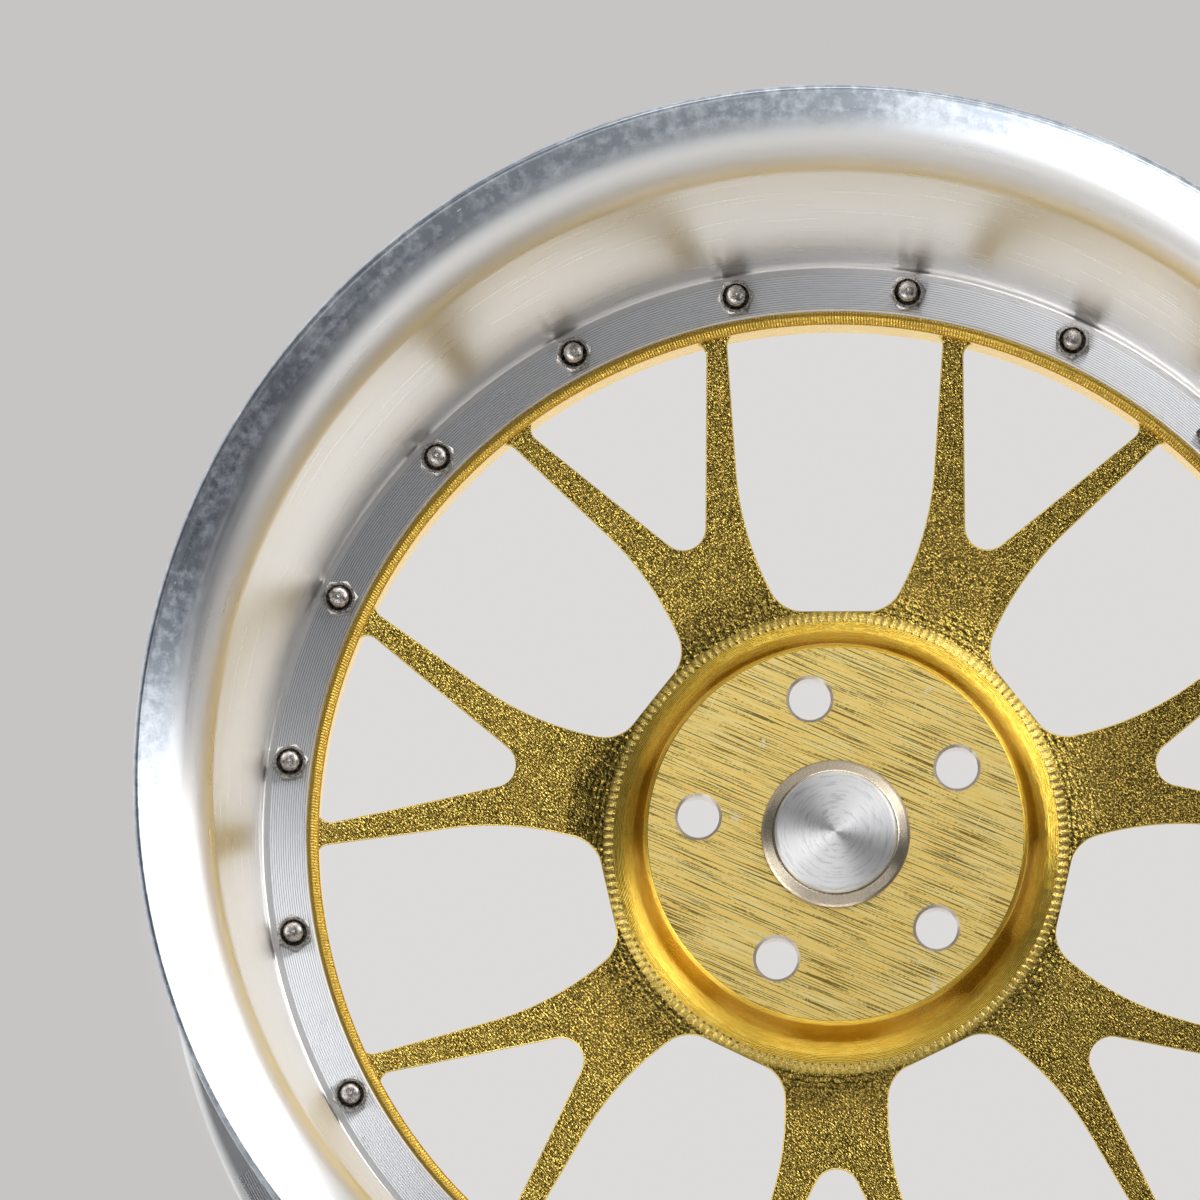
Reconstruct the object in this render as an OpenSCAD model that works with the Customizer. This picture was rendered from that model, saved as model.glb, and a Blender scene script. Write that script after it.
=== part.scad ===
// Three-piece racing wheel rim, 18 x 12, in millimetres.
// The wheel's axis is Y. The outboard face looks towards -Y and +Z is up.
// The origin is on the axis, halfway between the two rim edges.
// Profiles are lists of [radius, y]. Angles run from +X towards +Z.

/* [Rim] */
// Bead seat diameter
bead_seat_d = 462; // [460:0.5:464]
// Height of the rim flanges above the bead seat
flange_height = 17.3; // [16.5:0.1:18]
// Overall width from rim edge to rim edge
rim_width = 330; // [324:1:336]
// Inside radius of the rim tubes beside the bolt flange
tube_r = 208.2; // [207.8:0.1:209]
// Wall of the rim tubes
tube_wall = 5.3; // [4.5:0.1:6]

/* [Centre disc] */
// Number of forked spokes
spoke_count = 7; // [7:1:7]
// Angle of the first spoke
spoke_angle = 12.9; // [0:0.1:51]
// Inside radius of the disc's outer ring
ring_r = 187; // [186:0.1:188]
// Radius of the flat hub face
hub_face_r = 68.2; // [66:0.1:70]
// Thickness of the hub at the wheel studs
hub_thickness = 12; // [10:0.5:14]
// Radius of the pocket behind the hub
hub_pocket_r = 66; // [62:0.5:66.5]

/* [Wheel studs] */
// Pitch circle diameter of the stud holes
stud_pcd = 100; // [98:1:110]
// Diameter of the stud holes
stud_hole_d = 15; // [14:0.1:16]
// Angle of the first stud hole
stud_angle = 28.7; // [0:0.1:71]
// Diameter of the rear centre bore
centre_bore_d = 56.1; // [54:0.1:60]
// Diameter of the bore behind the cap
cap_bore_d = 46; // [45:0.1:47]

/* [Assembly bolts] */
// Number of assembly bolts
bolt_count = 20; // [20:1:20]
// Radius of the bolt circle
bolt_circle_r = 199; // [198.5:0.1:199.5]
// Angle of the first bolt
bolt_angle = 10.4; // [8:0.1:11]
// Thread diameter of the bolts
bolt_d = 7; // [6:0.5:7]
// Width across the flats of the nuts
nut_flats = 12; // [10:0.5:12]

/* [Hidden] */

$fn = 96;

// Rim sizes that follow from the bead seat
seat_r = bead_seat_d / 2;
edge_r = seat_r + flange_height;
front_y = -rim_width / 2;
rear_y = rim_width / 2;
flange_back = 12.5;

// The clamped stack, from the nuts backwards
lip_flange_y0 = 2.5;
lip_flange_y1 = 6.5;
disc_ring_y1 = 18.5;
barrel_flange_y1 = 26.5;
washer_t = 1.2;
flange_bore_r = 191.2;
tube_outer_r = tube_r + tube_wall;
bolt_hole_r = bolt_d / 2 + 0.2;
gap = 0.3;

// Inner surface of the lip: a shallow parabola, then a flare and a rolled edge
lip_curve = 0.0006;
lip_straight = 138;
flare_r = 26;
face_r = 236;

// Spokes
spoke_pitch = 360 / spoke_count;
crotch_x = 109.1;
crotch_r = 8.1;
fork_angle = 26.2;
corner_r = 4.4;
web_overlap = 1.5;
window_r = ring_r + 0.6;
window_x = 84.7;
window_bend_r = 13.3;
window_bend_t = 11.5;
window_side_r = 110;
window_bend_end = 118;
window_side_end = 94;
hub_root_r = 84;
hub_cove = [[69.8, 1.3], [70.1, 9], [71.2, 15.5], [72.8, 19.8], [74.6, 22], [77, 23.9],
    [79, 24.8], [80.9, 25.3]];

// Fasteners
nut_h = 5.7;
stud_end_y = -9;
head_h = 6;
washer_r = 7;

// Centre cap
cap_flange_r = 27;
cap_face_r = 22;
cap_face_y = -7.8;
cap_depth = 6.3;
o_ring_r = 1.25;
o_ring_mid_r = 21.65;
o_ring_y = 3.4;

// Tyre valve, standing on -Z in the lip and pointing to the axis
valve_y = -16;
valve_hole_r = 5.75;
valve_seat_in = -208.8;
valve_seat_out = -213;
valve_head_r = 8.5;
valve_head_z = -218;
grommet_z = -215.2;
valve_thread_r = 3.85;
valve_top_z = -180;
valve_washer_z = -207.6;
valve_nut_z = -202.6;
core_top_z = -181.5;
core_ledge_z = -187.4;
core_neck_z = -188.5;
core_seat_z = -190;
core_bottom_z = -191;
core_r = 2.5;
core_neck_r = 1.75;
pin_r = 0.45;
pin_collar_z = -182.4;
spring_wire_r = 0.16;
spring_mid_r = 1.1;
spring_turns = 5;
valve_cap_r = 5.2;
valve_cap_z = -191;
valve_cap_top_z = -176.5;

lip_colour = "silver";
gold_colour = "goldenrod";
steel_colour = "gainsboro";
brass_colour = "darkkhaki";
rubber_colour = "dimgray";

// Points along an arc about [cx, cy], from angle a0 to a1
function arc(cx, cy, r, a0, a1, steps) =
    [for (i = [0:steps])
        let (a = a0 + (a1 - a0) * i / steps)
        [cx + r * cos(a), cy + r * sin(a)]];

// The points reflected in the X axis, in the opposite order
function mirrored(points) = [for (i = [len(points) - 1:-1:0]) [points[i].x, -points[i].y]];

// Inside radius of the lip at a distance in front of the hub face
function lip_inner_r(y) = tube_r + lip_curve * y * y;

// Front surface of the spokes, which dips towards the hub
function spoke_front_y(r) = 25.8 - 0.06 * (r - hub_root_r) - 0.00081 * pow(r - hub_root_r, 2);

// Centre of a corner fillet between a window's side and the ring
function corner_centre(p, direction, r) =
    let (d = [cos(direction), sin(direction)],
         q = p + r * [sin(direction), -cos(direction)],
         along = q * d)
    q + d * (sqrt(along * along - q * q + pow(window_r - r, 2)) - along);

// Half of a window's outer end: the corner fillet and the arc along the ring
function window_end(p, direction) =
    let (c = corner_centre(p, direction, corner_r),
         a = atan2(c.y, c.x))
    concat(arc(c.x, c.y, corner_r, direction + 90, a, 5), arc(0, 0, window_r, a * 0.75, 0, 3));

// Outline of the triangular window inside a fork
function fork_window() =
    let (start = crotch_x + crotch_r / sin(fork_angle),
         inner = arc(start, 0, crotch_r, 180, fork_angle + 90, 6),
         half = concat(inner, window_end([crotch_x, 0], fork_angle)))
    concat(half, mirrored(half));

// Outline of the large window between two spokes
function spoke_window() =
    let (bend_x = window_x + window_bend_r,
         side = [bend_x, window_bend_t]
             + (window_bend_r - window_side_r) * [cos(window_bend_end), sin(window_bend_end)],
         last = side + window_side_r * [cos(window_side_end), sin(window_side_end)],
         half = concat(arc(bend_x, window_bend_t, window_bend_r, 180, window_bend_end, 5),
                       arc(side.x, side.y, window_side_r, window_bend_end, window_side_end, 5),
                       window_end(last, window_side_end - 90)))
    concat(half, mirrored(half));

// A solid turned about the wheel's axis from a [radius, y] profile
module turned(profile) {
    rotate([-90, 0, 0]) rotate_extrude($fn = 180) polygon(profile);
}

// A prism that cuts through y0 to y1 with an outline in the wheel's plane
module through_cut(outline, y0, y1) {
    rotate([90, 0, 0]) translate([0, 0, -y1]) linear_extrude(y1 - y0) polygon(outline);
}

// Places children at an angle about the wheel's axis
module about_axis(angle) {
    rotate([0, -angle, 0]) children();
}

// A cylinder along the axis, at a radius from it
module axial_cylinder(r, y0, y1, at = 0) {
    translate([at, y0, 0]) rotate([-90, 0, 0]) cylinder(h = y1 - y0, r = r);
}

// A round bar with both ends chamfered, to cut a hexagon's corners
module chamfered_blank(r, h, chamfer) {
    rise = chamfer * 0.55;
    rotate_extrude()
        polygon([[0, 0], [r - chamfer, 0], [r, rise], [r, h - rise], [r - chamfer, h], [0, h]]);
}

// A hexagon prism with turned chamfers, standing on Z = 0
module hexagon(flats, h) {
    intersection() {
        cylinder(h = h, r = flats / 2 / cos(30), $fn = 6);
        chamfered_blank(flats / 2 / cos(30), h, flats * 0.07);
    }
}

// Repeats children at every assembly bolt
module at_bolts() {
    for (i = [0:bolt_count - 1])
        about_axis(bolt_angle + i * 360 / bolt_count) translate([bolt_circle_r, 0, 0]) children();
}

// Clearance holes for the assembly bolts
module bolt_holes(y0, y1) {
    at_bolts() axial_cylinder(bolt_hole_r, y0, y1);
}

// The hole and its two flat seats for the tyre valve
module valve_cut() {
    translate([0, valve_y, -tube_outer_r - 4]) cylinder(h = 12, r = valve_hole_r);
    translate([0, valve_y, valve_seat_in]) cylinder(h = 4, r = valve_head_r + 0.5);
    translate([0, valve_y, valve_seat_out - 4]) cylinder(h = 4, r = valve_head_r + 0.5);
}

// Tyre side of a rim edge, from the well to the rolled edge, for the rear side
function rim_outside() = [
    [tube_outer_r, 78], [220.8, 106], [229, 126], [230.9, 131], [229.7, 135],
    [seat_r, rear_y - flange_back - 3], [seat_r + 0.9, rear_y - flange_back - 0.9],
    [seat_r + 3, rear_y - flange_back], [edge_r - 5, rear_y - flange_back],
    [edge_r - 1.5, rear_y - flange_back + 1.8], [edge_r, rear_y - flange_back + 5]];

// Inside and rolled edge of the lip, from the flange forwards
function lip_inside() = concat(
    [for (y = [0:23:lip_straight]) [lip_inner_r(y), -max(y, 0.7)]],
    let (a0 = atan(2 * lip_curve * lip_straight),
         cx = lip_inner_r(lip_straight) + flare_r * cos(a0),
         cy = -lip_straight + flare_r * sin(a0))
    [for (a = [a0 + 8:9:68]) [cx - flare_r * cos(a), cy - flare_r * sin(a)]],
    [[face_r, front_y + 4.6], [face_r + 4, front_y + 1.7], [edge_r - 3.6, front_y + 0.1],
     [edge_r - 2, front_y], [edge_r - 0.5, front_y + 0.8], [edge_r, front_y + 2.4]]);

module outer_lip() {
    outside = [for (p = rim_outside()) [p.x, -p.y]];
    color(lip_colour) difference() {
        turned(concat(
            [[flange_bore_r, lip_flange_y1], [flange_bore_r, lip_flange_y0 + 1.2],
             [flange_bore_r + 1.2, lip_flange_y0], [tube_r - 2, lip_flange_y0],
             [tube_r - 0.6, lip_flange_y0 - 0.6]],
            lip_inside(),
            [for (i = [len(outside) - 1:-1:0]) outside[i]],
            [[tube_outer_r, lip_flange_y1]]));
        bolt_holes(lip_flange_y0 - 1, lip_flange_y1 + 1);
        valve_cut();
    }
}

module inner_barrel() {
    pilot_y = lip_flange_y1 + gap;
    color(lip_colour) difference() {
        turned(concat(
            [[tube_r, pilot_y], [tube_r, disc_ring_y1], [flange_bore_r, disc_ring_y1],
             [flange_bore_r, barrel_flange_y1], [tube_r - 2, barrel_flange_y1],
             [tube_r, barrel_flange_y1 + 2], [tube_r + 0.5, 80], [215.5, 108], [224, 130],
             [225.5, 144], [228.5, 152], [233, 158], [239, 162.5],
             [edge_r - 4, rear_y], [edge_r - 1, rear_y], [edge_r, rear_y - 1.5]],
            [for (i = [len(rim_outside()) - 1:-1:0]) rim_outside()[i]],
            [[tube_outer_r, pilot_y]]));
        bolt_holes(disc_ring_y1 - 1, barrel_flange_y1 + 1);
    }
}

// Hub and spoke web of the disc, before its windows are cut
module disc_web() {
    web_r = ring_r + web_overlap;
    front = [for (r = [hub_root_r:17.4:web_r]) [r, spoke_front_y(r)]];
    turned(concat(
        [[cap_bore_d / 2, 0], [hub_face_r, 0]], hub_cove, front,
        [[web_r, spoke_front_y(web_r)], [web_r, 28], [120, 38], [88, 40.5],
         [76, 40.5], [74.5, 40], [69, 37], [hub_pocket_r, hub_thickness],
         [centre_bore_d / 2 + 1, hub_thickness],
         [centre_bore_d / 2, hub_thickness - 1], [centre_bore_d / 2, cap_depth + 0.2],
         [cap_bore_d / 2, cap_depth + 0.2]]));
}

// Outer ring of the disc, with the spigot that centres the barrel
module disc_ring() {
    spigot_r = flange_bore_r - 0.2;
    turned([[ring_r, lip_flange_y1 + 1], [ring_r + 1, lip_flange_y1],
            [tube_r - 0.4, lip_flange_y1], [tube_r - 0.4, disc_ring_y1],
            [spigot_r, disc_ring_y1], [spigot_r, 27.5], [spigot_r - 0.8, 28.3],
            [ring_r, 28.3]]);
}

module centre_disc() {
    color(gold_colour) difference() {
        union() {
            difference() {
                disc_web();
                for (i = [0:spoke_count - 1]) {
                    about_axis(spoke_angle + i * spoke_pitch) through_cut(fork_window(), -5, 50);
                    about_axis(spoke_angle + (i + 0.5) * spoke_pitch) through_cut(spoke_window(), -5, 50);
                }
            }
            disc_ring();
        }
        bolt_holes(lip_flange_y1 - 1, disc_ring_y1 + 1);
        for (i = [0:4])
            about_axis(stud_angle + i * 72) {
                axial_cylinder(stud_hole_d / 2, -1, hub_thickness + 1, stud_pcd / 2);
                translate([stud_pcd / 2, -0.1, 0]) rotate([-90, 0, 0])
                    cylinder(h = 1.1, r1 = stud_hole_d / 2 + 1.1, r2 = stud_hole_d / 2);
            }
    }
}

// Sealant bead laid round the outside over the seam of lip and barrel
module rim_seal() {
    seam_y = lip_flange_y1 + gap / 2;
    crown = [for (a = [72:-18:-72]) [tube_outer_r + 2.4 * cos(a), seam_y + 4 * sin(a)]];
    color(rubber_colour)
        turned(concat([[tube_outer_r, seam_y + 4]], crown, [[tube_outer_r, seam_y - 4]]));
}

module assembly_bolts() {
    head_y = barrel_flange_y1 + washer_t;
    color(steel_colour) at_bolts() {
        translate([0, stud_end_y, 0]) rotate([-90, 0, 0]) rotate_extrude()
            polygon([[0, 0], [bolt_d / 2 - 0.9, 0], [bolt_d / 2, 0.9],
                     [bolt_d / 2, head_y - stud_end_y], [0, head_y - stud_end_y]]);
        translate([0, head_y, 0]) rotate([-90, 0, 0]) hexagon(nut_flats, head_h);
    }
}

module bolt_washers() {
    color(steel_colour) at_bolts() translate([0, barrel_flange_y1, 0]) rotate([-90, 0, 0]) difference() {
        cylinder(h = washer_t, r = washer_r);
        translate([0, 0, -1]) cylinder(h = washer_t + 2, r = bolt_hole_r);
    }
}

module assembly_nuts() {
    counterbore_r = bolt_d / 2 + 1.2;
    counterbore_h = 2.4;
    thread_r = bolt_d / 2 + 0.05;
    color(steel_colour) at_bolts() translate([0, lip_flange_y0, 0]) rotate([90, 0, 0]) difference() {
        hexagon(nut_flats, nut_h);
        translate([0, 0, -1]) cylinder(h = nut_h + 2, r = thread_r);
        translate([0, 0, nut_h - counterbore_h]) cylinder(h = counterbore_h + 1, r = counterbore_r);
    }
}

// Turned plug over the centre bore, hollow behind, with a groove for its ring
module centre_cap() {
    shank_r = cap_bore_d / 2 - 0.3;
    groove_r = o_ring_mid_r - o_ring_r - 0.02;
    groove_half = o_ring_r + 0.15;
    color(lip_colour) turned([
        [0, cap_face_y], [cap_face_r - 0.8, cap_face_y], [cap_face_r, cap_face_y + 0.8],
        [cap_face_r, -4], [cap_face_r - 0.8, -3.8], [cap_face_r - 0.8, -3.3], [cap_face_r + 0.8, -3.1],
        [cap_flange_r - 0.4, -0.9], [cap_flange_r, -0.5], [cap_flange_r, -0.1], [shank_r, -0.1],
        [shank_r, o_ring_y - groove_half], [groove_r, o_ring_y - groove_half],
        [groove_r, o_ring_y + groove_half], [shank_r, o_ring_y + groove_half],
        [shank_r, cap_depth - 0.6], [shank_r - 0.6, cap_depth],
        [17.5, cap_depth], [17.5, -4.5], [0, -4.5]]);
}

module cap_o_ring() {
    color(rubber_colour) rotate([-90, 0, 0]) translate([0, 0, o_ring_y])
        rotate_extrude() translate([o_ring_mid_r, 0]) circle(r = o_ring_r);
}

// A solid turned about the valve's own axis from a [radius, z] profile
module valve_turned(profile) {
    translate([0, valve_y, 0]) rotate_extrude($fn = 64) polygon(profile);
}

module valve_body() {
    color(steel_colour) valve_turned([
        [1.4, valve_head_z], [valve_head_r - 0.5, valve_head_z], [valve_head_r, valve_head_z + 0.5],
        [valve_head_r, grommet_z], [4.1, grommet_z],
        [4.1, valve_washer_z - 0.4], [valve_thread_r, valve_washer_z],
        [valve_thread_r, valve_top_z - 0.6], [valve_thread_r - 0.6, valve_top_z],
        [core_r + 0.15, valve_top_z], [core_r + 0.05, core_seat_z],
        [2.1, core_seat_z], [2.1, -197], [1.4, -198.5]]);
}

// Rubber seal with a collar that fills the hole round the stem
module valve_grommet() {
    stem_r = 4.15;
    rim_r = valve_head_r - 0.3;
    collar_r = valve_hole_r - 0.05;
    collar_z = valve_seat_in - 0.4;
    color(rubber_colour) valve_turned([
        [stem_r, grommet_z], [rim_r, grommet_z], [rim_r, valve_seat_out],
        [collar_r, valve_seat_out], [collar_r, collar_z], [stem_r, collar_z]]);
}

module valve_washer() {
    color(steel_colour) valve_turned([
        [4.2, valve_seat_in], [8, valve_seat_in], [8, valve_washer_z], [4.2, valve_washer_z]]);
}

module valve_nut() {
    color(steel_colour) translate([0, valve_y, valve_washer_z]) difference() {
        hexagon(12, valve_nut_z - valve_washer_z);
        translate([0, 0, -1]) cylinder(h = 8, r = valve_thread_r + 0.05);
    }
}

module valve_core_body() {
    color(brass_colour) valve_turned([
        [0.75, core_bottom_z], [core_neck_r, core_bottom_z],
        [core_neck_r, core_neck_z], [core_r, core_neck_z],
        [core_r, core_top_z], [1.7, core_top_z], [1.7, core_ledge_z], [0.75, core_ledge_z]]);
}

module valve_core_gasket() {
    color("ivory") valve_turned([
        [core_neck_r, core_seat_z], [core_r, core_seat_z],
        [core_r, core_neck_z], [core_neck_r, core_neck_z]]);
}

module valve_core_pin() {
    color(brass_colour) valve_turned([
        [0, -193], [pin_r, -193], [pin_r, pin_collar_z], [1.35, pin_collar_z], [1.35, pin_collar_z + 0.5],
        [0.7, pin_collar_z + 0.5], [0.7, -180.6], [0.5, -180.4], [0, -180.4]]);
}

// Coil spring that lifts the pin: a round wire swept along a helix
module valve_core_spring() {
    sides = 8;
    steps = 20 * spring_turns;
    low = core_ledge_z + spring_wire_r + 0.02;
    high = pin_collar_z - spring_wire_r - 0.02;
    ring = function (i) let (a = 360 * spring_turns * i / steps, z = low + (high - low) * i / steps)
        [for (j = [0:sides - 1])
            let (b = 360 * j / sides, r = spring_mid_r + spring_wire_r * cos(b))
            [r * cos(a), r * sin(a), z + spring_wire_r * sin(b)]];
    points = [for (i = [0:steps]) each ring(i)];
    walls = [for (i = [0:steps - 1], j = [0:sides - 1])
        let (n = (j + 1) % sides)
        [i * sides + j, (i + 1) * sides + j, (i + 1) * sides + n, i * sides + n]];
    first = [for (j = [0:sides - 1]) j];
    last = [for (j = [sides - 1:-1:0]) steps * sides + j];
    color(steel_colour) translate([0, valve_y, 0]) polyhedron(points, concat([first, last], walls));
}

module valve_core_seal() {
    seal_z = core_bottom_z - 1.6;
    color(rubber_colour) valve_turned([
        [pin_r, seal_z], [1.5, seal_z], [1.5, core_bottom_z], [pin_r, core_bottom_z]]);
}

module valve_cap() {
    color(steel_colour) valve_turned([
        [0, valve_cap_top_z], [0, valve_top_z + 1],
        [valve_thread_r + 0.1, valve_top_z + 1], [valve_thread_r + 0.1, valve_cap_z],
        [valve_cap_r - 0.3, valve_cap_z], [valve_cap_r, valve_cap_z + 0.3],
        [valve_cap_r, valve_cap_top_z - 1], [valve_cap_r - 1, valve_cap_top_z]]);
}

module valve_cap_gasket() {
    color(rubber_colour) valve_turned([
        [1.6, valve_top_z + 0.02], [valve_thread_r, valve_top_z + 0.02],
        [valve_thread_r, valve_top_z + 1], [1.6, valve_top_z + 1]]);
}

outer_lip();
inner_barrel();
centre_disc();
rim_seal();
assembly_bolts();
bolt_washers();
assembly_nuts();
centre_cap();
cap_o_ring();
valve_body();
valve_grommet();
valve_washer();
valve_nut();
valve_core_body();
valve_core_gasket();
valve_core_pin();
valve_core_spring();
valve_core_seal();
valve_cap();
valve_cap_gasket();
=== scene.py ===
"""Looks for a three-piece racing wheel rim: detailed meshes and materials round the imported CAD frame.

The wheel's axis is Y, its outboard face looks towards -Y and +Z is up. Blender works in metres.
Profiles and outlines below are in millimetres, and Shape.build() scales them.
"""
import random
from math import atan, atan2, ceil, cos, degrees, hypot, pi, radians, sin, sqrt, tan

import bmesh
import bpy
from mathutils import Matrix, Vector
from mathutils.geometry import delaunay_2d_cdt


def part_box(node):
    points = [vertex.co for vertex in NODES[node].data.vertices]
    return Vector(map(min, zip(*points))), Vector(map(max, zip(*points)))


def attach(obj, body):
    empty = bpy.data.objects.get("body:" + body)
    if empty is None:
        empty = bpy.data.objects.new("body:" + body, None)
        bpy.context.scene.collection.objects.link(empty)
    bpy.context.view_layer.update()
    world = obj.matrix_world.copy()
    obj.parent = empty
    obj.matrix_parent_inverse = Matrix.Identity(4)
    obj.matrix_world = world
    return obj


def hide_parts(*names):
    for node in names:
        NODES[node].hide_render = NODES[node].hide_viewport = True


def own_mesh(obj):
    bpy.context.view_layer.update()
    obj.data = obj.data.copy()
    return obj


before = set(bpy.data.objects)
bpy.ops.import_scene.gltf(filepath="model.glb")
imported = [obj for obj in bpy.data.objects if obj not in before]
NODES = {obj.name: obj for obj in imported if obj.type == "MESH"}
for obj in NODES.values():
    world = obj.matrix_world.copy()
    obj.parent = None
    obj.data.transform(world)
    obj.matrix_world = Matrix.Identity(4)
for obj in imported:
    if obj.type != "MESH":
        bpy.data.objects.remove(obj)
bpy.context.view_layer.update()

MM = 0.001
random.seed(11)

# ---- Sizes taken from the frame, in millimetres ----


def low_high(node, axis):
    low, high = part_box(node)
    return low[axis] / MM, high[axis] / MM


RIM_FRONT, LIP_BACK = low_high("outer_lip", 1)
EDGE_R = low_high("outer_lip", 0)[1]
RIM_REAR = low_high("inner_barrel", 1)[1]
HUB_FACE_Y = low_high("centre_disc", 1)[0]
NUT_FRONT, NUT_BACK = low_high("assembly_nuts", 1)
BOLT_FRONT, BOLT_BACK = low_high("assembly_bolts", 1)
WASHER_FRONT, WASHER_BACK = low_high("bolt_washers", 1)
CAP_FRONT, CAP_BACK = low_high("centre_cap", 1)
CAP_R = low_high("centre_cap", 0)[1]

# ---- Sizes that the CAD source also holds ----
TUBE_R = 208.2
TUBE_OUTER_R = 213.5
FLANGE_BORE_R = 191.2
LIP_FLANGE_Y = 2.5
DISC_RING_FRONT = LIP_BACK
DISC_RING_BACK = 18.5
BARREL_FLANGE_Y = 26.5
LIP_CURVE = 0.0006
BEAD_SEAT_R = 231.0
BOLT_COUNT = 20
BOLT_CIRCLE_R = 199.0
BOLT_ANGLE = 10.4
BOLT_R = 3.5
BOLT_HOLE_R = 3.7
NUT_FLATS = 12.0
WASHER_R = 7.0
STUD_COUNT = 5
STUD_CIRCLE_R = 50.0
STUD_ANGLE = 28.7
STUD_HOLE_R = 7.5
SPOKE_COUNT = 7
SPOKE_ANGLE = 12.9
RING_R = 187.0
HUB_R = 68.2
HUB_ROOT_R = 84.0
TEETH = 180
TOOTH_R0, TOOTH_R1 = 80.9, 84.6
VALVE_Y = -16.0
VALVE_BORE_R = 5.75
VALVE_SEAT_R = 9.0
FINE_STEPS = 480


# ---- Mesh building ----


class Shape:
    """Vertices in millimetres and faces with a material index each, gathered into one mesh."""

    def __init__(self, verts=(), faces=(), paint=0):
        self.verts = []
        self.faces = []
        self.paint = []
        self.add(verts, faces, paint)

    def add(self, verts, faces, paint=0, place=None):
        """Adds faces, painted with one index or a list of them, and moved by a matrix if place gives one."""
        first = len(self.verts)
        self.verts += [tuple(place @ Vector(v)) for v in verts] if place else verts
        self.faces += [tuple(first + i for i in face) for face in faces]
        self.paint += [paint] * len(faces) if isinstance(paint, int) else paint

    def build(self, name, materials, sharp=32):
        """A Blender object with outward normals."""
        mesh = bpy.data.meshes.new(name)
        mesh.from_pydata([(x * MM, y * MM, z * MM) for x, y, z in self.verts], [], self.faces)
        for material in materials:
            mesh.materials.append(material)
        mesh.polygons.foreach_set("material_index", self.paint)
        work = bmesh.new()
        work.from_mesh(mesh)
        bmesh.ops.remove_doubles(work, verts=work.verts, dist=1e-7)
        bmesh.ops.recalc_face_normals(work, faces=work.faces)
        work.to_mesh(mesh)
        work.free()
        piece = bpy.data.objects.new(name, mesh)
        bpy.context.scene.collection.objects.link(piece)
        finish_shading(piece, sharp)
        return piece


def finish_shading(piece, sharp=32):
    """Smooth faces, with sharp edges past an angle in degrees."""
    mesh = piece.data
    mesh.polygons.foreach_set("use_smooth", [True] * len(mesh.polygons))
    mesh.set_sharp_from_angle(angle=radians(sharp))
    mesh.update()


def weighted_normals(piece):
    """Large flat faces keep their own normals beside small fillets."""
    modifier = piece.modifiers.new("weighted_normals", "WEIGHTED_NORMAL")
    modifier.keep_sharp = True
    modifier.weight = 80


def rounded(points, steps=4):
    """A closed profile with rounded corners. A point is (radius, y) or (radius, y, fillet)."""
    out = []
    for i, point in enumerate(points):
        corner = Vector(point[:2])
        fillet = point[2] if len(point) > 2 else 0
        if not fillet:
            out.append(tuple(corner))
            continue
        before = Vector(points[i - 1][:2]) - corner
        after = Vector(points[(i + 1) % len(points)][:2]) - corner
        start = corner + before.normalized() * min(fillet, before.length * 0.49)
        end = corner + after.normalized() * min(fillet, after.length * 0.49)
        for k in range(steps + 1):
            t = k / steps
            out.append(tuple(start * (1 - t) ** 2 + corner * 2 * t * (1 - t) + end * t * t))
    return out


def smooth_line(points, steps=4):
    """A Catmull-Rom curve through an open list of points."""
    pts = [Vector(p) for p in points]
    pts = [pts[0] * 2 - pts[1]] + pts + [pts[-1] * 2 - pts[-2]]
    out = []
    for a, b, c, d in zip(pts, pts[1:], pts[2:], pts[3:]):
        for k in range(steps):
            t = k / steps
            out.append(tuple(0.5 * (2 * b + (c - a) * t + (2 * a - 5 * b + 4 * c - d) * t * t
                                    + (3 * b - 3 * c + d - a) * t ** 3)))
    out.append(tuple(pts[-2]))
    return out


def around(r, angle, y):
    """The point at a radius and an angle (in radians) about the wheel's axis."""
    return r * cos(angle), y, r * sin(angle)


def circle(r, steps):
    return [(r * cos(2 * pi * i / steps), r * sin(2 * pi * i / steps)) for i in range(steps)]


def tube_faces(rows, steps):
    """Quads between rows of points that each close on themselves."""
    corners = [(i, (i + 1) % steps) for i in range(steps)]
    return [(j * steps + i, j * steps + k, (j + 1) * steps + k, (j + 1) * steps + i)
            for j in range(rows - 1) for i, k in corners]


def ring_faces(steps, n):
    """Quads between sections of n points each, where the sections too close into a ring."""
    return [(i * n + k, i * n + (k + 1) % n, (i + 1) % steps * n + (k + 1) % n, (i + 1) % steps * n + k)
            for i in range(steps) for k in range(n)]


def turned(profile, steps, paint=0):
    """A closed (radius, y) profile turned about the wheel's axis. paint may pick an index for each side."""
    n = len(profile)
    verts = [around(r, 2 * pi * i / steps, y) for i in range(steps) for r, y in profile]
    if paint:
        paint = [paint(profile[k], profile[(k + 1) % n]) for k in range(n)] * steps
    return verts, ring_faces(steps, n), paint


def bolt_frame(angle, circle_r):
    """Frame of a bolt or stud at an angle on its circle: its +Y runs along the bolt, to the rear."""
    return Matrix.Rotation(radians(-angle), 4, "Y") @ Matrix.Translation((circle_r, 0, 0))


def at_bolt(i):
    return bolt_frame(BOLT_ANGLE + i * 360 / BOLT_COUNT, BOLT_CIRCLE_R)


def cut(piece, cutter_shape):
    """Takes one shape away from a piece, for good."""
    cutter = cutter_shape.build("cutter", [])
    modifier = piece.modifiers.new("cut", "BOOLEAN")
    modifier.operation = "DIFFERENCE"
    modifier.solver = "EXACT"
    modifier.object = cutter
    graph = bpy.context.evaluated_depsgraph_get()
    mesh = bpy.data.meshes.new_from_object(piece.evaluated_get(graph))
    piece.modifiers.clear()
    old, piece.data = piece.data, mesh
    bpy.data.meshes.remove(old)
    bpy.data.objects.remove(cutter)
    mesh.name = piece.name
    finish_shading(piece)


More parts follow.
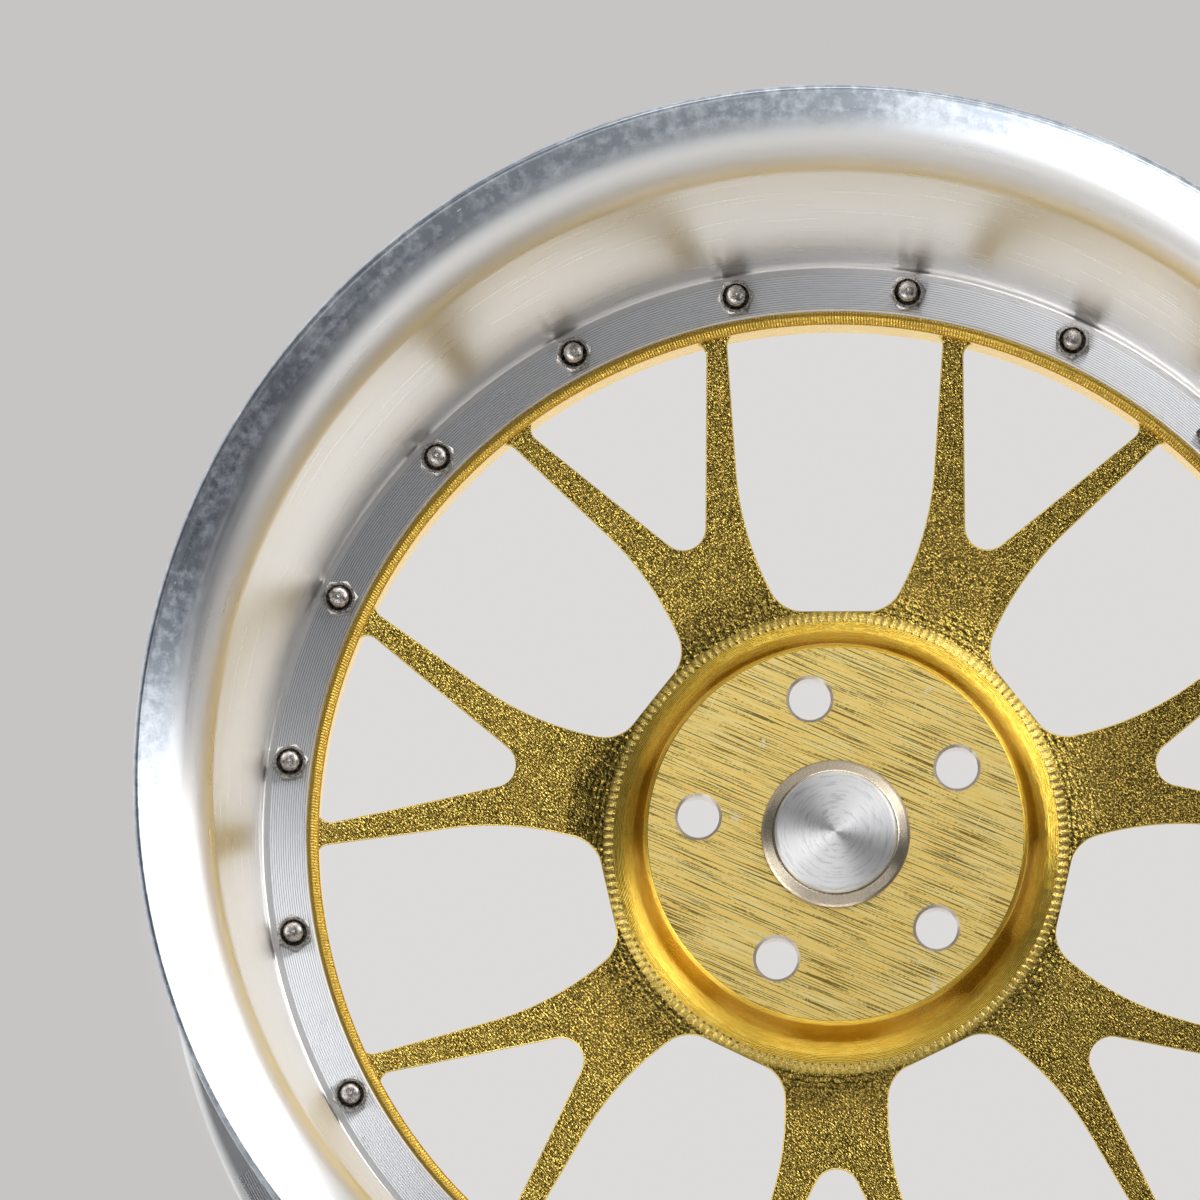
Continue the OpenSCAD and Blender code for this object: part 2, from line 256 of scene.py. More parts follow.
def bolt_hole_cutter(y0, y1):
    cutter = Shape()
    for i in range(BOLT_COUNT):
        cutter.add(*turned([(0, y0), (BOLT_HOLE_R, y0), (BOLT_HOLE_R, y1), (0, y1)], 32), at_bolt(i))
    return cutter


def settle(piece, body, slot, *nodes):
    """Hides the CAD nodes that a piece stands for and puts it on the body it rides on. Its slot argument is
    not used.
    """
    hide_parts(*nodes)
    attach(piece, body)


# ---- Material nodes ----


class Nodes:
    """A short way to write a node tree: each call adds a node and returns its output."""

    def __init__(self, tree):
        self.tree = tree

    def add(self, kind, inputs=(), output=0, **settings):
        node = self.tree.nodes.new(kind)
        for name, value in settings.items():
            setattr(node, name, value)
        for key, value in dict(inputs).items():
            self.put(node.inputs[key], value)
        return node.outputs[output]

    def put(self, socket, value):
        if isinstance(value, bpy.types.NodeSocket):
            self.tree.links.new(value, socket)
        else:
            socket.default_value = (*value, 1) if socket.type == "RGBA" else value

    def math(self, operation, a, b=0.0):
        return self.add("ShaderNodeMath", {0: a, 1: b}, operation=operation)

    def plus(self, a, b):
        return self.math("ADD", a, b)

    def times(self, a, b):
        return self.math("MULTIPLY", a, b)

    def ramp(self, value, low, high, to_low=0.0, to_high=1.0):
        """Straight map of low..high to to_low..to_high, held at both ends."""
        return self.add("ShaderNodeMapRange", {"Value": value, "From Min": low, "From Max": high,
                                               "To Min": to_low, "To Max": to_high})

    def mix(self, factor, a, b):
        """Blend of two colours."""
        return self.add("ShaderNodeMix", {0: factor, 6: a, 7: b}, 2, data_type="RGBA")

    def combine(self, x, y, z=0.0):
        return self.add("ShaderNodeCombineXYZ", {0: x, 1: y, 2: z})

    def noise(self, place, scale, detail=2.0, rough=0.5):
        return self.add("ShaderNodeTexNoise", {"Vector": place, "Scale": scale, "Detail": detail,
                                               "Roughness": rough})

    def split(self, vector):
        return self.add("ShaderNodeSeparateXYZ", {0: vector}).node.outputs[:]

    def place(self):
        """The point on the piece, in millimetres, and its X, Y and Z."""
        spot = self.add("ShaderNodeTexCoord", output=3)
        spot = self.add("ShaderNodeVectorMath", {0: spot, "Scale": 1 / MM}, operation="SCALE")
        return spot, *self.split(spot)

    def polar(self, x, z):
        """Distance from the wheel's axis and angle about it, in radians."""
        radius = self.math("SQRT", self.plus(self.times(x, x), self.times(z, z)))
        return radius, self.math("ARCTAN2", z, x)

    def dimples(self, place, randomness):
        """Rounded pits one unit apart, 0 in their middle and about 1 on the ridges between them."""
        cell = self.add("ShaderNodeTexVoronoi", {"Vector": place, "Scale": 1.0, "Randomness": randomness})
        return self.times(self.times(cell, cell), 1.8)

    def bump(self, height, depth_mm):
        """Gives the shader a bump whose height of 0 to 1 stands for depth_mm millimetres."""
        self.set("Normal", self.add("ShaderNodeBump", {"Height": height, "Distance": depth_mm * MM,
                                                       "Strength": 1.0}))

    def set(self, name, value):
        """Links a value to the Principled shader's socket of that name, or writes it there."""
        self.put(self.tree.nodes["Principled BSDF"].inputs[name], value)

    def turned_tangent(self):
        """Makes stretched highlights run round the wheel's axis."""
        self.set("Tangent", self.add("ShaderNodeTangent", direction_type="RADIAL", axis="Y"))


def material(name, colour, roughness, metallic=1.0, **sockets):
    """A Principled material and its node helper."""
    made = bpy.data.materials.new(name)
    made.use_nodes = True
    n = Nodes(made.node_tree)
    sockets.update(base_color=colour, roughness=roughness, metallic=metallic)
    for key, value in sockets.items():
        n.set(key.replace("_", " ").title(), value)
    return made, n


GOLD_BRIGHT = (0.86, 0.62, 0.20)
GOLD_DEEP = (0.62, 0.36, 0.05)
GOLD_OLIVE = (0.45, 0.33, 0.09)
ALUMINIUM = (0.88, 0.89, 0.91)
STEEL = (0.50, 0.47, 0.44)


def polished_lip():
    """Polished aluminium, blurred along the lip by round-and-round marks, hazed on the rolled face, whose
    darker blue-grey colour is painted reflection.
    """
    made, n = material("polished_lip", ALUMINIUM, 0.2, anisotropic=0.6, anisotropic_rotation=0.25)
    spot, x, y, z = n.place()
    radius, angle = n.polar(x, z)
    rings = n.combine(n.times(angle, 5), n.times(radius, 0.5), n.times(y, 0.5))
    streak = n.noise(rings, 1.0, 2, 0.5)
    mottle = n.noise(spot, 0.24, 5, 0.68)
    cloud = n.noise(spot, 0.035, 2)
    face = n.ramp(radius, 230, 239)
    haze = n.times(n.ramp(n.plus(mottle, n.ramp(cloud, 0.3, 0.7, -0.08, 0.08)), 0.42, 0.66), face)
    nicks = n.noise(n.combine(n.times(angle, 70), n.times(radius, 0.9)), 1.0, 2, 0.5)
    nick = n.times(n.ramp(nicks, 0.73, 0.76), face)
    rough = n.plus(n.ramp(streak, 0.3, 0.7, 0.27, 0.32), n.times(nick, 0.2))
    n.set("Roughness", n.plus(rough, n.times(haze, 0.06)))
    # Painted reflection: the rolled face takes a dark blue-grey colour for the dark surroundings it mirrors.
    # The mottled haze over it is the metal's own.
    haze_and_painted_dark_band = n.mix(haze, n.mix(face, (0.92, 0.91, 0.90), (0.46, 0.51, 0.58)), (0.78, 0.83, 0.90))
    n.set("Base Color", n.mix(nick, haze_and_painted_dark_band, (0.97, 0.97, 0.98)))
    n.bump(n.plus(n.times(streak, 0.3), n.times(mottle, face)), 0.01)
    n.turned_tangent()
    return made


def grooved_flange():
    """Faced aluminium with fine concentric tool marks, their grooves painted dark as painted shade, and
    scattered bright rubs.
    """
    pitch = 0.84
    made, n = material("grooved_flange", ALUMINIUM, 0.3, anisotropic=0.9, anisotropic_rotation=0.25)
    spot, x, _, z = n.place()
    radius = n.polar(x, z)[0]
    groove = n.ramp(n.math("SINE", n.times(radius, 2 * pi / pitch)), -0.9, -0.3)
    n.bump(groove, 0.05)
    rub = n.ramp(n.noise(spot, 0.16, 5, 0.7), 0.66, 0.74)
    n.set("Roughness", n.plus(n.ramp(n.noise(spot, 0.5, 2), 0.3, 0.7, 0.38, 0.44), rub))
    ridge = n.mix(rub, (0.90, 0.91, 0.94), (0.98, 0.98, 0.99))
    # Painted shade: the grooves take a dark grey, and the ridges between them a bright one.
    n.set("Base Color", n.mix(groove, (0.38, 0.39, 0.42), ridge))
    n.turned_tangent()
    return made


def turned_aluminium(name, pitch, depth, roughness):
    """Lathe-turned aluminium: rings along the axis on the tubes and soft stains."""
    made, n = material(name, (0.80, 0.81, 0.83), roughness)
    spot, x, y, z = n.place()
    radius, angle = n.polar(x, z)
    along = n.plus(y, radius)
    wave = n.math("SINE", n.times(along, 2 * pi / pitch))
    uneven = n.noise(n.combine(n.times(along, 0.5), n.times(angle, 0.4)), 1.0, 3)
    n.bump(n.times(wave, uneven), depth)
    stain = n.noise(spot, 0.02, 4, 0.6)
    n.set("Roughness", n.ramp(stain, 0.3, 0.7, roughness - 0.05, roughness + 0.08))
    n.set("Base Color", n.mix(n.ramp(stain, 0.35, 0.7), (0.80, 0.81, 0.83), (0.70, 0.71, 0.73)))
    return made


def milled_gold():
    """Ball-milled gold: small slanting dimples, in radial rows next to the hub, with painted glints and
    painted dark reflection in the colour.

    The shoulder's slow, high bump makes the flat spokes look as if they rise gently to the hub's foot.
    """
    made, n = material("milled_gold", GOLD_OLIVE, 0.2)
    spot, x, y, z = n.place()
    radius, angle = n.polar(x, z)
    row, step = 0.66, 1.1
    across = n.times(n.plus(n.times(x, 0.77), n.times(z, 0.64)), 1 / row)
    along = n.times(n.math("SUBTRACT", n.times(z, 0.77), n.times(x, 0.64)), 1 / step)
    slant = n.dimples(n.combine(across, along), 0.9)
    rows = n.dimples(n.combine(n.times(angle, TEETH / 2 / pi), n.times(radius, 0.45)), 0.35)
    near_hub = n.ramp(n.plus(radius, n.times(n.noise(spot, 0.12, 2), 22)), 98, 108, 1.0, 0.0)
    height = n.plus(n.times(slant, n.math("SUBTRACT", 1.0, near_hub)), n.times(rows, n.times(near_hub, 2.0)))
    grain = n.noise(n.combine(n.times(across, 1.15), along, n.times(y, 0.5)), 1.3, 2, 0.6)
    shoulder = n.ramp(radius, HUB_ROOT_R, 98, 24.0, 0.0)
    n.bump(n.plus(n.plus(height, n.times(grain, 0.7)), shoulder), 0.14)
    cloud = n.noise(spot, 0.07, 3, 0.6)
    # Painted glints and painted dark reflection: the grain turns the colour from near-black to bright pale
    # gold.
    colour = n.mix(n.ramp(grain, 0.475, 0.65), (0.105, 0.072, 0.013), (1.0, 0.72, 0.17))
    n.set("Base Color", n.mix(n.ramp(cloud, 0.45, 0.75, 0.0, 0.2), colour, (0.60, 0.40, 0.09)))
    n.set("Roughness", n.ramp(grain, 0.3, 0.7, 0.12, 0.22))
    return made


def tooth_gold_and_edge_highlight():
    """Bright cusps round the foot of the hub, and a pale gold painted highlight past 86 mm, on the windows'
    rounded edges.
    """
    made, n = material("tooth_gold_and_edge_highlight", GOLD_BRIGHT, 0.2)
    spot, x, _, z = n.place()
    grain = n.noise(spot, 1.6, 3, 0.6)
    radius = n.polar(x, z)[0]
    ridge = n.mix(n.ramp(grain, 0.35, 0.65), (0.45, 0.30, 0.05), (1.0, 0.76, 0.23))
    foot = n.mix(n.ramp(radius, 82.6, TOOTH_R1, 0.0, 0.75), ridge, (0.30, 0.21, 0.04))
    # Painted highlight: past 86 mm, where only the windows' rounded edges take this material, the colour
    # turns pale gold.
    n.set("Base Color", n.mix(n.ramp(radius, 85.0, 86.0), foot, (1.0, 0.80, 0.30)))
    n.set("Roughness", n.ramp(grain, 0.3, 0.7, 0.12, 0.22))
    n.bump(grain, 0.15)
    return made


def smooth_gold():
    """Turned gold of the hub's side and the disc's back."""
    made, n = material("smooth_gold", GOLD_DEEP, 0.24)
    spot, x, y, z = n.place()
    radius, angle = n.polar(x, z)
    cloud = n.noise(spot, 0.25, 4, 0.6)
    rings = n.math("SINE", n.times(n.plus(radius, y), 2 * pi / 0.7))
    waves = n.noise(n.combine(n.times(angle, 14), n.times(n.plus(radius, y), 0.8)), 1.0, 3, 0.6)
    n.bump(n.plus(n.times(rings, 0.15), waves), 0.12)
    n.set("Base Color", n.mix(n.ramp(waves, 0.35, 0.65), (0.93, 0.56, 0.06), (1.0, 0.72, 0.13)))
    n.set("Roughness", n.ramp(cloud, 0.3, 0.7, 0.16, 0.27))
    return made


def brushed_gold():
    """Hub face ground in straight lines that run down to the right, with light rubs and painted highlight
    lines.
    """
    made, n = material("brushed_gold", GOLD_BRIGHT, 0.3, anisotropic=0.8)
    spot, x, _, z = n.place()
    tilt = radians(-23)
    along = n.plus(n.times(x, cos(tilt)), n.times(z, sin(tilt)))
    across = n.math("SUBTRACT", n.times(z, cos(tilt)), n.times(x, sin(tilt)))
    lines = n.noise(n.combine(n.times(along, 0.035), n.times(across, 1.9)), 1.0, 1, 0.5)
    hairs = n.noise(n.combine(n.times(along, 0.03), n.times(across, 2.6), 7.0), 1.0, 1, 0.5)
    crossing = n.noise(n.combine(n.times(along, 1.3), n.times(across, 0.05), 2.0), 1.0, 2, 0.5)
    dots = n.noise(spot, 0.9, 2, 0.6)
    dark = n.ramp(n.plus(lines, n.ramp(dots, 0.3, 0.7, -0.05, 0.05)), 0.43, 0.46, 0.85, 0.0)
    # Painted highlights: some brush lines and faint cross lines turn pale gold.
    bright = n.math("MAXIMUM", n.ramp(hairs, 0.55, 0.58), n.ramp(crossing, 0.68, 0.71, 0.0, 0.8))
    colour = n.mix(dark, (1.0, 0.74, 0.22), (0.15, 0.10, 0.015))
    rub = n.noise(n.combine(n.times(x, 0.10), n.times(z, 0.05), 3.0), 1.0, 4, 0.6)
    colour = n.mix(bright, colour, (1.0, 0.85, 0.38))
    n.set("Base Color", n.mix(n.ramp(rub, 0.66, 0.74, 0.0, 0.6), colour, (0.97, 0.92, 0.80)))
    n.set("Roughness", n.ramp(lines, 0.4, 0.6, 0.52, 0.44))
    n.bump(n.plus(lines, n.times(hairs, 0.6)), 0.1)
    n.set("Tangent", n.combine(-sin(tilt), 0.0, cos(tilt)))
    return made


def hatched_gold():
    """Ring face: radial tool marks, fading into a smooth dark band at its outer edge."""
    made, n = material("hatched_gold", GOLD_BRIGHT, 0.22)
    _, x, _, z = n.place()
    radius, angle = n.polar(x, z)
    teeth = n.math("ABSOLUTE", n.math("SINE", n.times(angle, 560)))
    uneven = n.noise(n.combine(n.times(angle, 160), n.times(radius, 0.8)), 1.0, 3, 0.6)
    n.bump(n.times(n.plus(teeth, uneven), n.ramp(radius, 188.6, 190.0, 1.0, 0.12)), 0.22)
    n.set("Base Color", n.mix(n.ramp(uneven, 0.3, 0.7), (0.92, 0.62, 0.13), (0.60, 0.36, 0.05)))
    n.set("Roughness", n.ramp(uneven, 0.3, 0.7, 0.18, 0.3))
    return made


def grained(name, colour, roughness, metallic, colours, noise, blend, roughs, depth):
    """One noise mixes two colours, and varies the roughness and the bump with them."""
    made, n = material(name, colour, roughness, metallic)
    grain = n.noise(n.place()[0], *noise)
    n.set("Base Color", n.mix(n.ramp(grain, *blend), *colours))
    n.set("Roughness", n.ramp(grain, 0.3, 0.7, *roughs))
    n.bump(grain, depth)
    return made


def worn_steel(name, dark, light):
    """Stainless fasteners: warm grey, with small handling marks."""
    return grained(name, STEEL, 0.26, 1.0, (dark, light), (0.9, 4, 0.75), (0.40, 0.60), (0.18, 0.34), 0.1)


def turned_cap():
    """Face-turned aluminium: uneven rings, worn scars and fine pits between them."""
    made, n = material("turned_cap", ALUMINIUM, 0.28, anisotropic=0.85, anisotropic_rotation=0.25)
    spot, x, _, z = n.place()
    radius, angle = n.polar(x, z)
    rings = n.noise(n.combine(n.times(radius, 1.3), 0.0), 1.0, 4, 0.75)
    worn = n.noise(n.combine(n.times(radius, 0.9), n.times(angle, 1.6)), 1.0, 4, 0.7)
    pits = n.noise(spot, 1.3, 3, 0.7)
    dark = n.times(n.ramp(worn, 0.32, 0.50, 1.0, 0.0), n.ramp(rings, 0.3, 0.6, 1.0, 0.3))
    n.bump(n.plus(rings, n.times(pits, 0.3)), 0.05)
    n.set("Base Color", n.mix(dark, (0.99, 0.99, 1.0), (0.42, 0.44, 0.48)))
    n.set("Roughness", n.ramp(pits, 0.35, 0.7, 0.40, 0.52))
    n.turned_tangent()
    return made


def matt(name, colour, lighter, roughness, scale, depth):
    """Rubber, sealant or plastic: no metal, with a soft grain."""
    return grained(name, colour, roughness, 0.0, (colour, lighter), (scale, 3, 0.6), (0.3, 0.7),
                   (roughness - 0.08, roughness + 0.08), depth)


def plain_metal(name, colour, darker, roughness):
    """Small machined parts: fine grain and slight staining."""
    return grained(name, colour, roughness, 1.0, (colour, darker), (1.6, 4, 0.65), (0.35, 0.7),
                   (roughness - 0.06, roughness + 0.1), 0.02)


LIP = polished_lip()
FLANGE = grooved_flange()
BARREL = turned_aluminium("turned_barrel", 0.9, 0.03, 0.26)
MILLED = milled_gold()
SMOOTH = smooth_gold()
BRUSHED = brushed_gold()
HATCHED = hatched_gold()
CUSPS = tooth_gold_and_edge_highlight()
BARE = plain_metal("bare_hole_edge", (0.86, 0.80, 0.74), (0.74, 0.66, 0.58), 0.3)
DISC_PAINTS = [MILLED, SMOOTH, BRUSHED, HATCHED, CUSPS, BARE]
ON_MILLED, ON_SMOOTH, ON_BRUSHED, ON_HATCHED, ON_CUSPS_AND_EDGE_HIGHLIGHT, ON_BARE = range(len(DISC_PAINTS))
FASTENER = worn_steel("worn_steel", (0.30, 0.28, 0.26), (0.62, 0.59, 0.55))
BOLT_STEEL = worn_steel("bolt_steel", (0.34, 0.31, 0.29), (0.66, 0.62, 0.59))
CAP = turned_cap()
# The cap's skirt is aluminium: its warm tan colour with brown grain is a painted reflection of the gold hub
# face around it.
CAP_SIDE = plain_metal("cap_skirt", (0.76, 0.68, 0.56), (0.54, 0.44, 0.31), 0.2)
RUBBER = matt("black_rubber", (0.025, 0.025, 0.027), (0.06, 0.06, 0.06), 0.55, 0.5, 0.05)
SEALANT = matt("grey_sealant", (0.20, 0.20, 0.21), (0.32, 0.32, 0.32), 0.5, 0.12, 0.3)
NICKEL = plain_metal("valve_nickel", (0.66, 0.65, 0.63), (0.48, 0.47, 0.45), 0.22)
BRASS = plain_metal("valve_brass", (0.74, 0.56, 0.27), (0.56, 0.40, 0.17), 0.26)
PTFE = matt("white_ptfe", (0.80, 0.79, 0.75), (0.88, 0.87, 0.84), 0.42, 1.0, 0.02)


# ---- Rim halves ----


def lip_inner_r(y):
    return TUBE_R + LIP_CURVE * y * y


def rim_outside(front):
    """Tyre side of one rim half, from the tube out to the rolled edge, towards front or rear."""
    side = -1 if front else 1
    edge = RIM_REAR
    well = smooth_line([(TUBE_OUTER_R, 74), (TUBE_OUTER_R + 1.2, 84), (220.8, 106), (229, 126), (230.9, 131),
                        (229.7, 135.5), (BEAD_SEAT_R - 0.6, 141), (BEAD_SEAT_R, edge - 17)], 4)
    flange = [(BEAD_SEAT_R + 0.2, edge - 15.5), (BEAD_SEAT_R + 0.9, edge - 13.4),
              (BEAD_SEAT_R + 3, edge - 12.5), (EDGE_R - 5, edge - 12.5), (EDGE_R - 2.7, edge - 12),
              (EDGE_R - 1.0, edge - 10), (EDGE_R - 0.2, edge - 7.8), (EDGE_R, edge - 5.6)]
    return [(r, side * y) for r, y in well + smooth_line(flange, 3)]


def lip_front():
    """Inside of the lip, from the bolt flange out over the flare and the rolled edge."""
    straight, flare_r, face_angle, arc_steps = 140.5, 26.0, 66.6, 18
    wall = [(lip_inner_r(y), -y) for y in range(2, int(straight), 4)]
    a0 = atan(2 * LIP_CURVE * straight)
    cx = lip_inner_r(straight) + flare_r * cos(a0)
    cy = -straight + flare_r * sin(a0)
    flare = []
    for i in range(arc_steps + 1):
        a = a0 + (radians(face_angle) - a0) * i / arc_steps
        flare.append((cx - flare_r * cos(a), cy - flare_r * sin(a)))
    face_slope = tan(radians(90 - face_angle))
    band = [(flare[-1][0] + d, flare[-1][1] - face_slope * d) for d in (2.6, 5.2, 7.8, 10.0)]
    roll = smooth_line([band[-1], (EDGE_R - 1.75, RIM_FRONT + 0.02), (EDGE_R - 0.8, RIM_FRONT + 0.45),
                        (EDGE_R - 0.15, RIM_FRONT + 1.5), (EDGE_R, RIM_FRONT + 3)], 4)
    return wall + flare + band[:-1] + roll


def flange_grooves(r0, r1, y, pitch, depth):
    """Shallow turned grooves across a flat face, as a fine saw-tooth."""
    count = int((r1 - r0) / pitch)
    out = []
    for i in range(count):
        r = r0 + i * pitch
        out += [(r, y), (r + pitch * 0.5, y + depth)]
    return out + [(r0 + count * pitch, y)]


def make_lip():
    profile = [(FLANGE_BORE_R, LIP_BACK), (FLANGE_BORE_R, LIP_FLANGE_Y + 1.3),
               (FLANGE_BORE_R + 0.1, LIP_FLANGE_Y + 1.1), (FLANGE_BORE_R + 1.2, LIP_FLANGE_Y)]
    profile += flange_grooves(FLANGE_BORE_R + 1.6, TUBE_R - 3.2, LIP_FLANGE_Y, 0.8, 0.045)
    profile += rounded([(TUBE_R - 2.6, LIP_FLANGE_Y), (TUBE_R - 0.4, LIP_FLANGE_Y, 1.6),
                        (TUBE_R + 0.02, -1)])[1:-1]
    tyre_side = rim_outside(True)[::-1]
    profile += lip_front() + tyre_side + [(TUBE_OUTER_R, LIP_BACK)]

    def paint(a, b):
        if max(a[0], b[0]) < TUBE_R - 2.5 and a[1] < LIP_FLANGE_Y + 1.2:
            return 1
        return 2 if a in tyre_side[3:] or a[1] > LIP_FLANGE_Y + 1 else 0

    shape = Shape(*turned(profile, FINE_STEPS, paint))
    piece = shape.build("polished_outer_lip", [LIP, FLANGE, BARREL], 25)
    holes = bolt_hole_cutter(LIP_FLANGE_Y - 1, LIP_BACK + 1)
    for z0, z1, r in [(-218, -204, VALVE_BORE_R), (-208.8, -204.8, VALVE_SEAT_R), (-217, -213, VALVE_SEAT_R)]:
        verts, faces = turned([(0, z0), (r, z0), (r, z1), (0, z1)], 48)[:2]
        holes.add([(x, VALVE_Y - z, y) for x, y, z in verts], faces)
    cut(piece, holes)
    weighted_normals(piece)
    settle(piece, "wheel", "lip_polished", "outer_lip")


def make_barrel():
    edge, pilot_y = RIM_REAR, LIP_BACK + 0.3
    well = smooth_line([(TUBE_R, BARREL_FLANGE_Y + 4), (TUBE_R + 0.3, 60), (TUBE_R + 1.6, 86), (215.5, 108),
                        (224, 130), (225.8, 144), (228.5, 152), (233, 158), (239, 162.3),
                        (EDGE_R - 4, edge - 0.1), (EDGE_R - 1.6, edge), (EDGE_R - 0.4, edge - 0.8),
                        (EDGE_R, edge - 2.6)], 5)
    profile = [(TUBE_R, pilot_y), (TUBE_R, DISC_RING_BACK), (FLANGE_BORE_R, DISC_RING_BACK),
               (FLANGE_BORE_R, BARREL_FLANGE_Y - 0.8), (FLANGE_BORE_R + 0.8, BARREL_FLANGE_Y),
               (TUBE_R - 2.2, BARREL_FLANGE_Y), (TUBE_R - 0.6, BARREL_FLANGE_Y + 0.6),
               (TUBE_R - 0.05, BARREL_FLANGE_Y + 2)]
    profile += well + rim_outside(False)[::-1]
    profile.append((TUBE_OUTER_R, pilot_y))
    piece = Shape(*turned(profile, FINE_STEPS)).build("turned_inner_barrel", [BARREL], 25)
    cut(piece, bolt_hole_cutter(DISC_RING_BACK - 1, BARREL_FLANGE_Y + 1))
    weighted_normals(piece)
    settle(piece, "wheel", "barrel_turned", "inner_barrel")


def make_seal():
    """Hand-laid sealant bead: its width and crown wander a little round the rim."""
    seam = LIP_BACK + 0.15
    steps, sides = FINE_STEPS, 10
    bumps = [(random.randint(3, 40), random.uniform(0, 2 * pi), random.uniform(0.2, 1)) for _ in range(12)]
    verts = []
    for i in range(steps):
        a = 2 * pi * i / steps
        wander = sum(size * sin(count * a + phase) for count, phase, size in bumps) / 8
        crown, width = 2.05 + 0.22 * wander, 3.5 + 0.4 * wander
        for k in range(sides + 1):
            t = pi * k / sides
            verts.append(around(TUBE_OUTER_R + crown * sin(t), a, seam + 0.2 * wander + width * cos(t)))
    shape = Shape(verts, ring_faces(steps, sides + 1))
    settle(shape.build("sealant_bead", [SEALANT], 50), "wheel", "sealant", "rim_seal")


# ---- Centre disc ----

WINDOW_R = RING_R + 0.6
CELL = 8
EDGE_ROUND = 0.75
BACK_ROUND = 1.2
WALL_LEAN = 2.4  # how far a spoke's wall leans out from front to back
RIM_STEPS = 240


def arc(cx, cy, r, a0, a1, spacing=1.4):
    """Points on a circular arc from angle a0 to a1, in degrees."""
    steps = max(3, ceil(abs(radians(a1 - a0)) * r / spacing))
    turns = [radians(a0 + (a1 - a0) * i / steps) for i in range(steps + 1)]
    return [(cx + r * cos(a), cy + r * sin(a)) for a in turns]


def line(a, b, spacing=2.0):
    """Points between a and b, without either end."""
    steps = max(1, ceil(hypot(b[0] - a[0], b[1] - a[1]) / spacing))
    return [(a[0] + (b[0] - a[0]) * i / steps, a[1] + (b[1] - a[1]) * i / steps) for i in range(1, steps)]


def window_end(start, direction, corner_r=4.4):
    """A window's side from start, its corner fillet, and half of its end along the ring."""
    d = radians(direction)
    q = (start[0] + corner_r * sin(d), start[1] - corner_r * cos(d))
    along = q[0] * cos(d) + q[1] * sin(d)
    reach = sqrt(along * along - q[0] ** 2 - q[1] ** 2 + (WINDOW_R - corner_r) ** 2) - along
    centre = (q[0] + cos(d) * reach, q[1] + sin(d) * reach)
    turn = degrees(atan2(centre[1], centre[0]))
    corner = arc(*centre, corner_r, direction + 90, turn, 0.8)
    return line(start, corner[0]) + corner + arc(0, 0, WINDOW_R, turn, 0, 2.0)[1:]


def whole(half):
    """A window's closed outline from its upper half, which starts and ends on the centre line."""
    return half + [(x, -y) for x, y in half[-2:0:-1]]


def fork_window():
    crotch_x, crotch_r, fork_angle = 109.1, 8.1, 26.2
    centre_x = crotch_x + crotch_r / sin(radians(fork_angle))
    inner = arc(centre_x, 0, crotch_r, 180, fork_angle + 90)
    return whole(inner + window_end(inner[-1], fork_angle))


def spoke_window():
    inner_x, bend_r, bend_y, side_r, bend_end, side_end = 84.7, 13.3, 11.5, 110.0, 118.0, 94.0
    bend = arc(inner_x + bend_r, bend_y, bend_r, 180, bend_end)
    turn = radians(bend_end)
    side_centre = (inner_x + bend_r + (bend_r - side_r) * cos(turn), bend_y + (bend_r - side_r) * sin(turn))
    side = arc(*side_centre, side_r, bend_end, side_end, 2.0)
    flat = [(inner_x, bend_y * i / 8) for i in range(8)]
    return whole(flat + bend + side[1:] + window_end(side[-1], side_end - 90))


def widened(outline, distance):
    """A window's outline grown into the metal, but never past the ring's inner face."""
    out = []
    for i, (x, y) in enumerate(outline):
        before, after = outline[i - 1], outline[(i + 1) % len(outline)]
        tx, ty = after[0] - before[0], after[1] - before[1]
        size = hypot(tx, ty)
        px, py = x - ty / size * distance, y + tx / size * distance
        r = hypot(px, py)
        if r > WINDOW_R:
            px, py = px * WINDOW_R / r, py * WINDOW_R / r
        out.append((px, py))
    return out


def spin(outline, angle):
    c, s = cos(radians(angle)), sin(radians(angle))
    return [(x * c - y * s, x * s + y * c) for x, y in outline]


def front_y(r):
    """The spokes' front face comes forward a little on its way out to the ring."""
    d = max(r, HUB_ROOT_R) - HUB_ROOT_R
    return 25.8 - 0.06 * d - 0.00081 * d * d


def back_y(r):
    """The spokes' back: flat behind the hub, then two slopes out to the ring."""
    flat_y, bend_y, rim_y = 40.45, 38, 28
    flat_r, bend_r, rim_r = 88, 120, 188
    if r < flat_r:
        return flat_y
    if r < bend_r:
        return flat_y - (flat_y - bend_y) * (r - flat_r) / (bend_r - flat_r)
    return bend_y - (bend_y - rim_y) * (r - bend_r) / (rim_r - bend_r)


def inside(outline, x, y):
    hit = False
    for (ax, ay), (bx, by) in zip(outline, outline[1:] + outline[:1]):
        if (ay > y) != (by > y) and x < ax + (bx - ax) * (y - ay) / (by - ay):
            hit = not hit
    return hit


def near(cells, x, z):
    """The outline points in the square cells round a place."""
    cx, cz = int(x // CELL), int(z // CELL)
    return [p for i in (-1, 0, 1) for j in (-1, 0, 1) for p in cells.get((cx + i, cz + j), [])]


